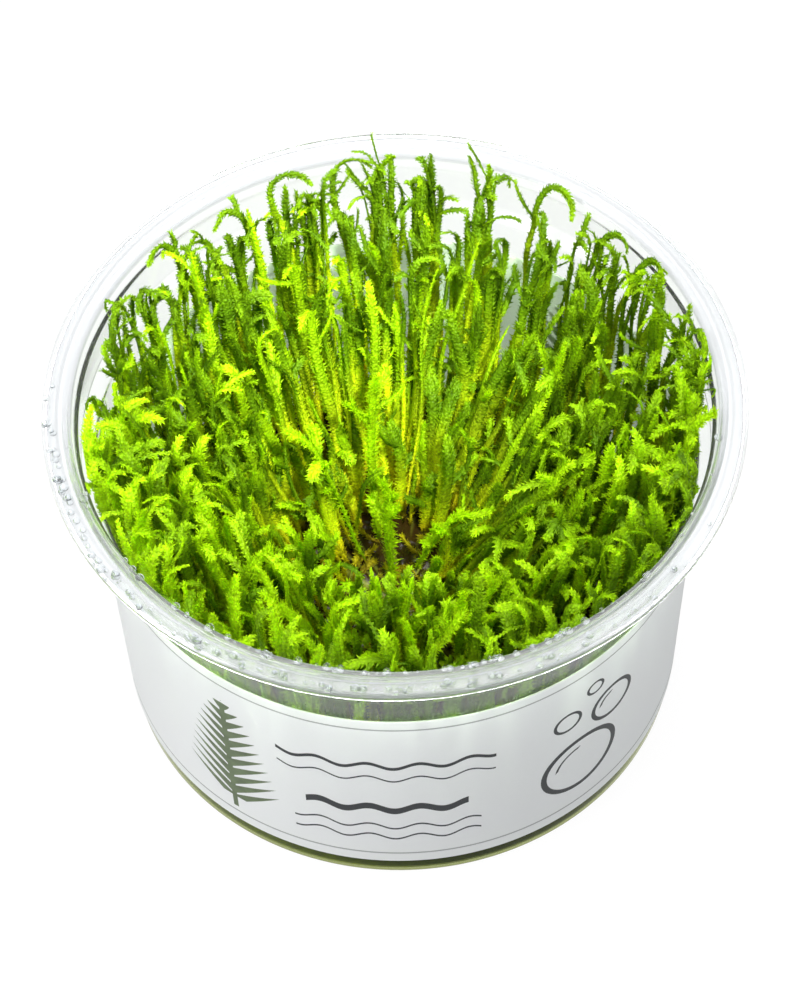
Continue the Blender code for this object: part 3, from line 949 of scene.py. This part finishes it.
def shoot_shade_and_painted_light(out_share, direction, chance):
    """Shade of a shoot's green: 0 pale, with painted backlight from the wall's light, 0.5 deep green with
    painted shade, 1 lime.
    """
    number = len(direction)
    front = np.clip(0.45 - 0.95 * np.sin(direction), 0.0, 1.0)
    right = np.clip(np.cos(direction), 0.0, 1.0)
    left = np.clip(0.3 - np.cos(direction), 0.0, 1.0)
    patch = np.sin(6.0 * direction + 9.0 * out_share) * np.sin(17.0 * direction - 5.0 * out_share)
    # Painted backlight at the back; deep green in front and on the right is painted shade; in patches
    shade = (0.06 + 0.42 * front + 0.40 * right ** 3 * (1 - 0.9 * front) + 0.18 * patch
             + chance.normal(0.0, 0.11, number))
    # Lime shoots are more common on the left: partly painted light on that side
    lime_chance = 0.07 + 0.07 * front + 0.38 * left * front + 0.16 * left - 0.06 * right - 0.05 * patch
    lime = chance.random(number) < lime_chance
    return np.clip(np.where(lime, chance.uniform(*LIME_SHADES, number), shade), 0.03, 0.97)


def drawn_together(direction, out_share):
    """Draws the shoots at the back towards the clumps along the wall, so that gaps run out between them."""
    centres = np.radians([clump[0] for clump in BACK_CLUMPS])
    nearest = centres[np.abs(direction[:, None] - centres[None]).argmin(axis=1)]
    widest_gap = math.radians(8.0)
    pull = np.clip(1.5 * np.sin(direction) + 0.2, 0.0, 1.0) * (0.42 + 0.24 * out_share)
    pull = np.where(np.abs(nearest - direction) < widest_gap, pull, 0.0)
    return direction + (nearest - direction) * pull


def band_places(inner, outer, rows, count, chance):
    """Where a band's shoots stand: evenly with some jitter, then drawn into clumps, and sparser in front."""
    out_share, direction = [], []
    number = count // rows
    for row in range(rows):
        out_share.append(inner + (outer - inner) * (row + chance.random(number)) / rows)
        direction.append(math.tau * (np.arange(number) + 0.85 * chance.random(number) + 0.37 * row) / number)
    out_share, direction = np.concatenate(out_share), np.concatenate(direction)
    clumps = 30
    direction = direction - 0.75 / clumps * np.sin(clumps * direction + 3.0 * out_share)
    direction = drawn_together(direction, out_share)
    back = np.sin(direction)
    front = np.clip(-1.4 * back, 0.0, 1.0)
    behind = np.clip(1.6 * back + 0.2, 0.0, 1.0)
    by_clumps = (out_share > ALONG_WALL) & (back > -0.05)
    stay = chance.random(len(direction)) > np.where(by_clumps, 0.93, 0.40 * front + 0.52 * behind)
    out_share, direction, back, front = (part[stay] for part in (out_share, direction, back, front))
    look = settings().growth
    number = len(direction)
    by_wall = look.wall_height + 0.0012 * back
    by_hollow = look.hollow_height + 0.0020 * back
    height = by_hollow + (by_wall - by_hollow) * out_share ** 0.8 + chance.normal(0.0, 0.0017, number)
    low = chance.random(number) < 0.42 - 0.22 * out_share + 0.25 * front + 0.15 * np.clip(back, 0.0, 1.0)
    height = np.where(low, GEL_TOP + (height - GEL_TOP) * chance.uniform(0.45, 0.93, number), height)
    return out_share, direction, height


def clump_places(chance):
    """Where shoots stand against the wall: in clumps at the back, each of its own height, singly in front."""
    out_share, direction, height = [], [], []
    for degrees, top, shoots in BACK_CLUMPS:
        out_share.append(chance.uniform(0.84, 1.0, shoots))
        direction.append(np.radians(degrees + chance.normal(0.0, 1.3, shoots)))
        height.append(top / 1000 - np.abs(chance.normal(0.0, 0.0028, shoots)))
    stems = len(FRONT_STEMS)
    out_share.append(np.full(stems, 1.0))
    direction.append(np.radians(FRONT_STEMS))
    height.append(chance.uniform(0.051, 0.056, stems))
    return (np.concatenate(part) for part in (out_share, direction, height))


def main_shoots(out_share, direction, height, chance, bright=0):
    """Shoots of the fan; the last ones, as many as bright says, are lime."""
    look = settings().growth
    number = len(direction)
    start = fan_point(np.maximum(out_share, 0.02), direction, np.full(number, ROOT_HEIGHT))
    tip_share = np.minimum(out_share + chance.normal(0.0, 0.05, number), 1.0)
    tip = fan_point(tip_share, direction + chance.normal(0.0, 0.03, number), height)
    left = np.clip(-np.cos(direction), 0.0, 1.0)
    upright = np.clip(0.10 + 0.42 * left + chance.normal(0.0, 0.10, number), 0.0, 0.8)
    start[:, :2] += (tip - start)[:, :2] * upright[:, None]
    start = kept_inside(start, 0.002)
    heading = unit(tip - start)
    radial = ways_out(direction)
    around = radial[:, [1, 0, 2]] * (-1.0, 1.0, 1.0)
    aim = chance.normal(0.0, 0.9, number)
    inward = np.where(chance.random(number) < 0.5 + 0.3 * out_share, -1.0, 1.0)
    bend_way = square_to(radial * (np.cos(aim) * inward)[:, None] + around * np.sin(aim)[:, None], heading)
    hooked = chance.random(number) < 0.46 + 0.26 * (out_share > ALONG_WALL)
    bend, bend_from = (
        np.where(hooked, chance.uniform(*hook, number), chance.uniform(*gentle, number))
        for hook, gentle in ((HOOKED_BEND, GENTLE_BEND), (HOOKED_FROM, GENTLE_FROM)))
    reach = np.linalg.norm(tip - start, axis=-1) * np.where(hooked, 1.05, 1.01)
    width = look.shoot_width * chance.uniform(0.52, 1.22, number)
    width *= 1.0 - 0.28 * (out_share > ALONG_WALL) * np.clip(2.0 * np.sin(direction), 0.0, 1.0)
    line, side = bent_lines(start, heading, reach, bend_way, np.radians(bend), bend_from, chance, 16, 0.085)
    hidden = np.clip((out_share - 0.12) * 3.0, 0.0, 1.0) * (0.34 - 0.12 * np.sin(direction))
    shade = shoot_shade_and_painted_light(out_share, direction, chance)
    # The stems at the front wall take pale shades from the wall ramp, whose yellow green is painted backlight
    at_front_wall = (out_share >= 1.0) & (np.sin(direction) < 0.0)
    shade = np.where(at_front_wall, chance.uniform(*BACKLIT_STEM_SHADES, number), shade)
    shade[number - bright:] = chance.uniform(*BRIGHT_SHADES, bright)
    return Shoots(line, side, width, shade, chance, leafy_from=hidden, roll=chance.normal(0.0, 0.5, number))


def arched_shoots(chance):
    """The single shoots that arch over the back wall, along curves through their points."""
    rings, samples, ease_over = 24, 200, 31
    mm_per_degree = 0.79
    lines = []
    for points in ARCHED_SHOOTS:
        points = np.array(points, float)
        apart = np.hypot(np.diff(points[:, 0]) * mm_per_degree, np.diff(points[:, 1]))
        steps = np.concatenate([[0.0], np.cumsum(apart)])
        along = np.linspace(0.0, steps[-1], samples)
        direction, height = (np.interp(along, steps, points[:, axis]) for axis in (0, 1))
        ease = np.ones(ease_over) / ease_over
        direction, height = (np.convolve(np.pad(part, ease_over // 2, mode="edge"), ease, mode="valid")
                             for part in (direction, height))
        chosen = (ring_places(rings) * (samples - 1)).astype(int)
        lines.append(fan_point(np.full(rings, 0.96), np.radians(direction[chosen]), height[chosen] / 1000))
    lines = np.array(lines)
    count = len(lines)
    radial = unit(lines[:, -1] * np.array([1.0, 1.0, 0.0]))
    width = settings().growth.shoot_width * chance.uniform(0.55, 0.80, count)
    return Shoots(lines, radial, width, chance.uniform(0.05, 0.38, count), chance, age=(0.25, 1.0),
                  roll=math.pi / 2 + chance.normal(0.0, 0.3, count))


def hollow_shoots(count, chance):
    """Upright shoots round the edge of the hollow, on its far side and its flanks."""
    direction = np.radians(chance.uniform(-35.0, 215.0, count))
    radius = chance.uniform(0.0060, 0.0105, count)
    start = round_the_hollow(direction, radius, ROOT_HEIGHT)
    lean = np.tan(np.radians(chance.uniform(2.0, 24.0, count)))[:, None]
    radial = ways_out(direction)
    heading = unit(UP + radial * lean + chance.normal(0.0, 0.08, (count, 3)))
    bend_way = square_to(chance.normal(0.0, 1.0, (count, 3)) + radial * 0.5, heading)
    bend = np.radians(chance.uniform(10.0, 75.0, count))
    line, side = bent_lines(start, heading, chance.uniform(0.009, 0.030, count), bend_way, bend,
                            chance.uniform(0.5, 0.8, count), chance, 12)
    width = settings().growth.shoot_width * chance.uniform(0.8, 1.2, count)
    shade = np.where(chance.random(count) < 0.3, chance.uniform(0.8, 0.97, count),
                     chance.uniform(0.03, 0.4, count))
    return Shoots(line, side, width, shade, chance)


def side_shoots(parents, count, chance, longest=0.0085, width_share=0.72, droop=0.3, low=0.5, rings=7):
    """Short side shoots that leave random parents near the top."""
    index = chance.integers(0, parents.count, count)
    grids = parents.at(chance.uniform(low, 0.93, (parents.count, count)))[:4]
    place, tangent, across, facing = (grid[index, np.arange(count)] for grid in grids)
    sign = np.where(chance.random(count) < 0.5, -1.0, 1.0)[:, None]
    lean = np.radians(chance.uniform(28, 58, count))[:, None]
    heading = unit(tangent * np.cos(lean) + across * sign * np.sin(lean)
                   + facing * chance.normal(0, 0.2, (count, 1)))
    drooping = chance.random(count) < droop
    bend_way = square_to(np.where(drooping[:, None], -UP, tangent) + 1e-6, heading)
    bend = np.radians(np.where(drooping, chance.uniform(50, 130, count), chance.uniform(10, 45, count)))
    line, side = bent_lines(place, heading, chance.uniform(0.45, 1.0, count) * longest, bend_way, bend,
                            np.full(count, 0.15), chance, rings, 0.03)
    shade = np.clip(parents.shade[index] + chance.normal(0.02, 0.05, count), 0.03, 0.97)
    return Shoots(line, side, parents.width[index] * width_share, shade, chance, age=(0.70, 1.0))


def build_moss_band(band, count, finish, chance):
    inner, outer, rows, parts, tuft = BANDS[band]
    places = list(band_places(inner, outer, rows, count, chance))
    groups = []
    if band == "wall_moss":
        places = [np.concatenate(pair) for pair in zip(places, clump_places(chance))]
        groups.append(arched_shoots(chance))
    bright = 0
    if band == "inner_moss":
        groups.append(hollow_shoots(settings().growth.hollow_shoots, chance))
        degrees, shares, tops = np.array(BRIGHT_SHOOTS).T
        places = [np.concatenate(pair) for pair in zip(places, (shares, np.radians(degrees), tops / 1000))]
        bright = len(BRIGHT_SHOOTS)
    groups.append(main_shoots(*places, chance, bright))
    tufts = sorted(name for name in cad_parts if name.startswith(tuft))
    for part in range(parts):
        growth = Growth()
        for shoots in groups:
            angle = np.degrees(np.arctan2(shoots.line[:, -1, 1], shoots.line[:, -1, 0])) % 360
            chosen = np.minimum((angle / 360 * parts).astype(int), parts - 1) == part
            if not chosen.any():
                continue
            own = shoots.taken(chosen)
            growth.grow(own, MAIN_LEAVES, chance)
            growth.grow(side_shoots(own, int(own.count * 0.75), chance), SIDE_LEAVES, chance, 5)
            if band == "wall_moss":
                curls = side_shoots(own, int(own.count * 0.20), chance, longest=0.0100, width_share=0.45,
                                    droop=1.0, low=0.86, rings=9)
                growth.grow(curls, CURL_LEAVES, chance, 5, 0.8)
        first, last = len(tufts) * part // parts, len(tufts) * (part + 1) // parts
        growth.make(f"{band}_{part + 1}", tufts[first:last], finish)


def build_lone_shoots(finish, chance):
    """Single bright shoots that stand free in the hollow, each with a few side shoots at its top."""
    start, tip = [], []
    for name in LONE_SHOOTS:
        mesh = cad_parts[name].data
        places = np.array([vert.co for vert in mesh.vertices])
        low, high = places[:, 2].min(), places[:, 2].max()
        start.append(places[places[:, 2] < low + 1e-5].mean(axis=0))
        tip.append(places[places[:, 2] > high - 1e-5].mean(axis=0))
    start, tip = np.array(start), np.array(tip)
    heading = unit(tip - start)
    bend_way, bend, width, shade = (np.array(part) for part in zip(*LONE_SHOOTS.values()))
    reach = np.linalg.norm(tip - start, axis=-1)
    line, side = bent_lines(start, heading, reach, square_to(bend_way, heading), np.radians(bend),
                            np.full(len(bend), 0.7), chance, 18)
    shoots = Shoots(line, side, width, shade, chance, age=(0.72, 1.0))
    growth = Growth()
    growth.grow(shoots, LONE_LEAVES, chance, scale=1.6)
    sides = side_shoots(shoots, 18, chance, longest=0.0080, width_share=0.85, droop=0.1, low=0.52)
    growth.grow(sides, LONE_SIDE_LEAVES, chance, scale=1.4)
    growth.make("lone_shoots", tuple(LONE_SHOOTS), finish)


def build_old_growth(finish, chance):
    """Brown stubs that lie in the hollow and round the feet of the shoots."""
    count = 60
    direction = chance.uniform(0.0, math.tau, count)
    radius = chance.uniform(0.003, 0.014, count)
    start = round_the_hollow(direction, radius, GEL_TOP + 0.0001)
    turn = chance.uniform(0.0, math.tau, count)
    lift = chance.uniform(0.05, 0.8, count)
    heading = unit(np.stack([np.cos(turn), np.sin(turn), lift], axis=-1))
    bend_way = unit(np.cross(heading, UP))
    line, side = bent_lines(start, heading, chance.uniform(0.002, 0.006, count), bend_way,
                            chance.uniform(0.2, 1.2, count), np.full(count, 0.1), chance, 7, 0.2)
    width, shade = chance.uniform(0.0005, 0.0010, count), chance.uniform(0.05, 0.5, count)
    shoots = Shoots(line, side, width, shade, chance, age=(0.0, 0.07))
    growth = Growth()
    growth.grow(shoots, CURL_LEAVES, chance, 5, 1.5)
    growth.make("old_growth", (), finish)


# Dew

def build_dew():
    """Drops of water: one is modelled, then copied to the flange and its inner edge."""
    look = settings().dew
    chance = np.random.default_rng(21)
    deselect()
    bpy.ops.mesh.primitive_uv_sphere_add(segments=12, ring_count=8, radius=1.0)
    drop = bpy.context.object
    bpy.ops.object.mode_set(mode="EDIT")
    bpy.ops.mesh.select_all(action="SELECT")
    bpy.ops.mesh.bisect(plane_co=(0, 0, -0.25), plane_no=(0, 0, 1), clear_inner=True, use_fill=True)
    bpy.ops.object.mode_set(mode="OBJECT")
    drops = []
    for number in range(look.drops):
        size = look.smallest + (look.largest - look.smallest) * chance.random() ** 1.9
        chance.random()  # One draw is passed over, which keeps the drops where they are
        if number % 3 == 0:
            direction = math.radians(-90 + chance.normal(0.0, 40.0))
            radius = RIM_INNER_RADIUS + chance.uniform(0.0001, 0.0006)
        else:
            direction = math.radians(chance.choice(DROP_CLUSTERS) + chance.normal(0.0, 14.0))
            radius = RIM_INNER_RADIUS + 0.0024 + chance.uniform(0.0, 0.0014)
        twin = drop.copy()
        twin.data = drop.data.copy()
        bpy.context.scene.collection.objects.link(twin)
        place = Vector((radius * math.cos(direction), radius * math.sin(direction), RIM_HEIGHT + size * 0.10))
        twin.data.transform(Matrix.Translation(place) @ Matrix.Diagonal((size, size, size * DROP_RISE, 1.0)))
        drops.append(twin)
    deselect()
    for twin in drops:
        twin.select_set(True)
    bpy.context.view_layer.objects.active = drops[0]
    bpy.ops.object.join()
    bpy.data.objects.remove(drop, do_unlink=True)
    bpy.ops.object.shade_smooth_by_angle(angle=math.radians(50))
    finish_piece(bpy.context.object, "dew_drops", [dew_water()])


# Stage

def hang_lamp(kind, name, place, aim, power, **values):
    """A lamp at a place, turned to what it shines on."""
    deselect()
    bpy.ops.object.light_add(type=kind, location=place)
    lamp = bpy.context.object
    lamp.name = name
    lamp.data.energy = power
    for value_name, value in values.items():
        setattr(lamp.data, value_name, value)
    lamp.rotation_euler = (Vector(aim) - Vector(place)).to_track_quat("-Z", "Y").to_euler()


def build_stage():
    look = settings().stage
    deselect()
    bpy.ops.mesh.primitive_grid_add(x_subdivisions=8, y_subdivisions=8, size=look.floor_size)
    floor = bpy.context.object
    floor.name = "floor"
    finish = Finish("pale_floor")
    shade = finish.mix(finish.noise(3.0, 2.0), look.floor, [part * 0.985 for part in look.floor])
    finish.set(Base_Color=shade, Roughness=0.9, Emission_Color=WHITE, Emission_Strength=look.glow)
    finish.material.cycles.emission_sampling = "NONE"
    floor.data.materials.append(finish.material)

    world = bpy.data.worlds.new("studio")
    world.use_nodes = True
    sky = world.node_tree.nodes["Background"].inputs
    sky["Color"].default_value, sky["Strength"].default_value = WHITE, look.sky
    bpy.context.scene.world = world
    for name, (place, size, shade) in AREA_LAMPS.items():
        hang_lamp("AREA", name, place, CUP_MIDDLE, getattr(look, name), size=size, color=shade)
    hang_lamp("SPOT", "mouth_light", SPOT_PLACE, SPOT_AIM, look.mouth_light, spot_size=SPOT_ANGLE,
              spot_blend=1.0, shadow_soft_size=0.035)

    camera = bpy.data.objects.new("camera", bpy.data.cameras.new("camera"))
    bpy.context.scene.collection.objects.link(camera)
    turned_to = Matrix((CAMERA_RIGHT, CAMERA_UP, CAMERA_RIGHT.cross(CAMERA_UP))).transposed().to_4x4()
    camera.matrix_world = Matrix.Translation(CAMERA_PLACE) @ turned_to
    camera.data.lens = CAMERA_LENS
    camera.data.sensor_width = 36.0
    camera.data.sensor_fit = "AUTO"
    camera.data.clip_start = 0.01
    bpy.context.scene.camera = camera
    view = bpy.context.scene.view_settings
    view.view_transform = "Standard"
    view.look = "None"


# Operators

class MOSSCUP_OT_stage(bpy.types.Operator):
    """Lay the floor, hang the lights and set up the camera"""
    bl_idname = "mosscup.stage"
    bl_label = "Stage"

    def execute(self, context):
        build_stage()
        return {"FINISHED"}


class MOSSCUP_OT_cup(bpy.types.Operator):
    """Turn the clear cup with its flange, collar and foot"""
    bl_idname = "mosscup.cup"
    bl_label = "Clear cup"

    def execute(self, context):
        build_cup()
        return {"FINISHED"}


class MOSSCUP_OT_label(bpy.types.Operator):
    """Wrap the printed film round the wall"""
    bl_idname = "mosscup.label"
    bl_label = "Film label"

    def execute(self, context):
        build_label()
        return {"FINISHED"}


class MOSSCUP_OT_gel(bpy.types.Operator):
    """Pour the gel that the moss stands in"""
    bl_idname = "mosscup.gel"
    bl_label = "Growth gel"

    def execute(self, context):
        build_gel()
        return {"FINISHED"}


class MOSSCUP_OT_moss(bpy.types.Operator):
    """Grow the moss: three bands of shoots round the hollow, the lone shoots and the old growth"""
    bl_idname = "mosscup.moss"
    bl_label = "Moss"

    def execute(self, context):
        look = settings().growth
        finish = moss_leaf()
        chance = np.random.default_rng(look.seed)
        build_moss_band("wall_moss", look.wall_shoots, finish, chance)
        build_moss_band("middle_moss", look.middle_shoots, finish, chance)
        build_moss_band("inner_moss", look.inner_shoots, finish, chance)
        build_lone_shoots(finish, chance)
        build_old_growth(finish, chance)
        return {"FINISHED"}


class MOSSCUP_OT_dew(bpy.types.Operator):
    """Set drops of dew on the flange"""
    bl_idname = "mosscup.dew"
    bl_label = "Dew"

    def execute(self, context):
        build_dew()
        return {"FINISHED"}


class MOSSCUP_PT_panel(bpy.types.Panel):
    """Lists the steps that build the cup of moss"""
    bl_label = "Moss cup"
    bl_idname = "MOSSCUP_PT_panel"
    bl_space_type = "VIEW_3D"
    bl_region_type = "UI"
    bl_category = "Moss cup"

    def draw(self, context):
        column = self.layout.column()
        for operator in OPERATORS:
            column.operator(operator.bl_idname)


SETTINGS = (MossCupSettings, MossLabelSettings, MossGelSettings, MossGrowthSettings, MossDewSettings,
            MossStageSettings, MossCupAll)
OPERATORS = (MOSSCUP_OT_stage, MOSSCUP_OT_cup, MOSSCUP_OT_label, MOSSCUP_OT_gel, MOSSCUP_OT_moss,
             MOSSCUP_OT_dew)


def register():
    for made in (*SETTINGS, *OPERATORS, MOSSCUP_PT_panel):
        bpy.utils.register_class(made)
    bpy.types.Scene.moss_cup = PointerProperty(type=MossCupAll)


def unregister():
    del bpy.types.Scene.moss_cup
    for made in reversed((*SETTINGS, *OPERATORS, MOSSCUP_PT_panel)):
        bpy.utils.unregister_class(made)


def main():
    register()
    bpy.ops.mosscup.stage()
    bpy.ops.mosscup.cup()
    bpy.ops.mosscup.label()
    bpy.ops.mosscup.gel()
    bpy.ops.mosscup.moss()
    bpy.ops.mosscup.dew()


if __name__ == "__main__":
    main()
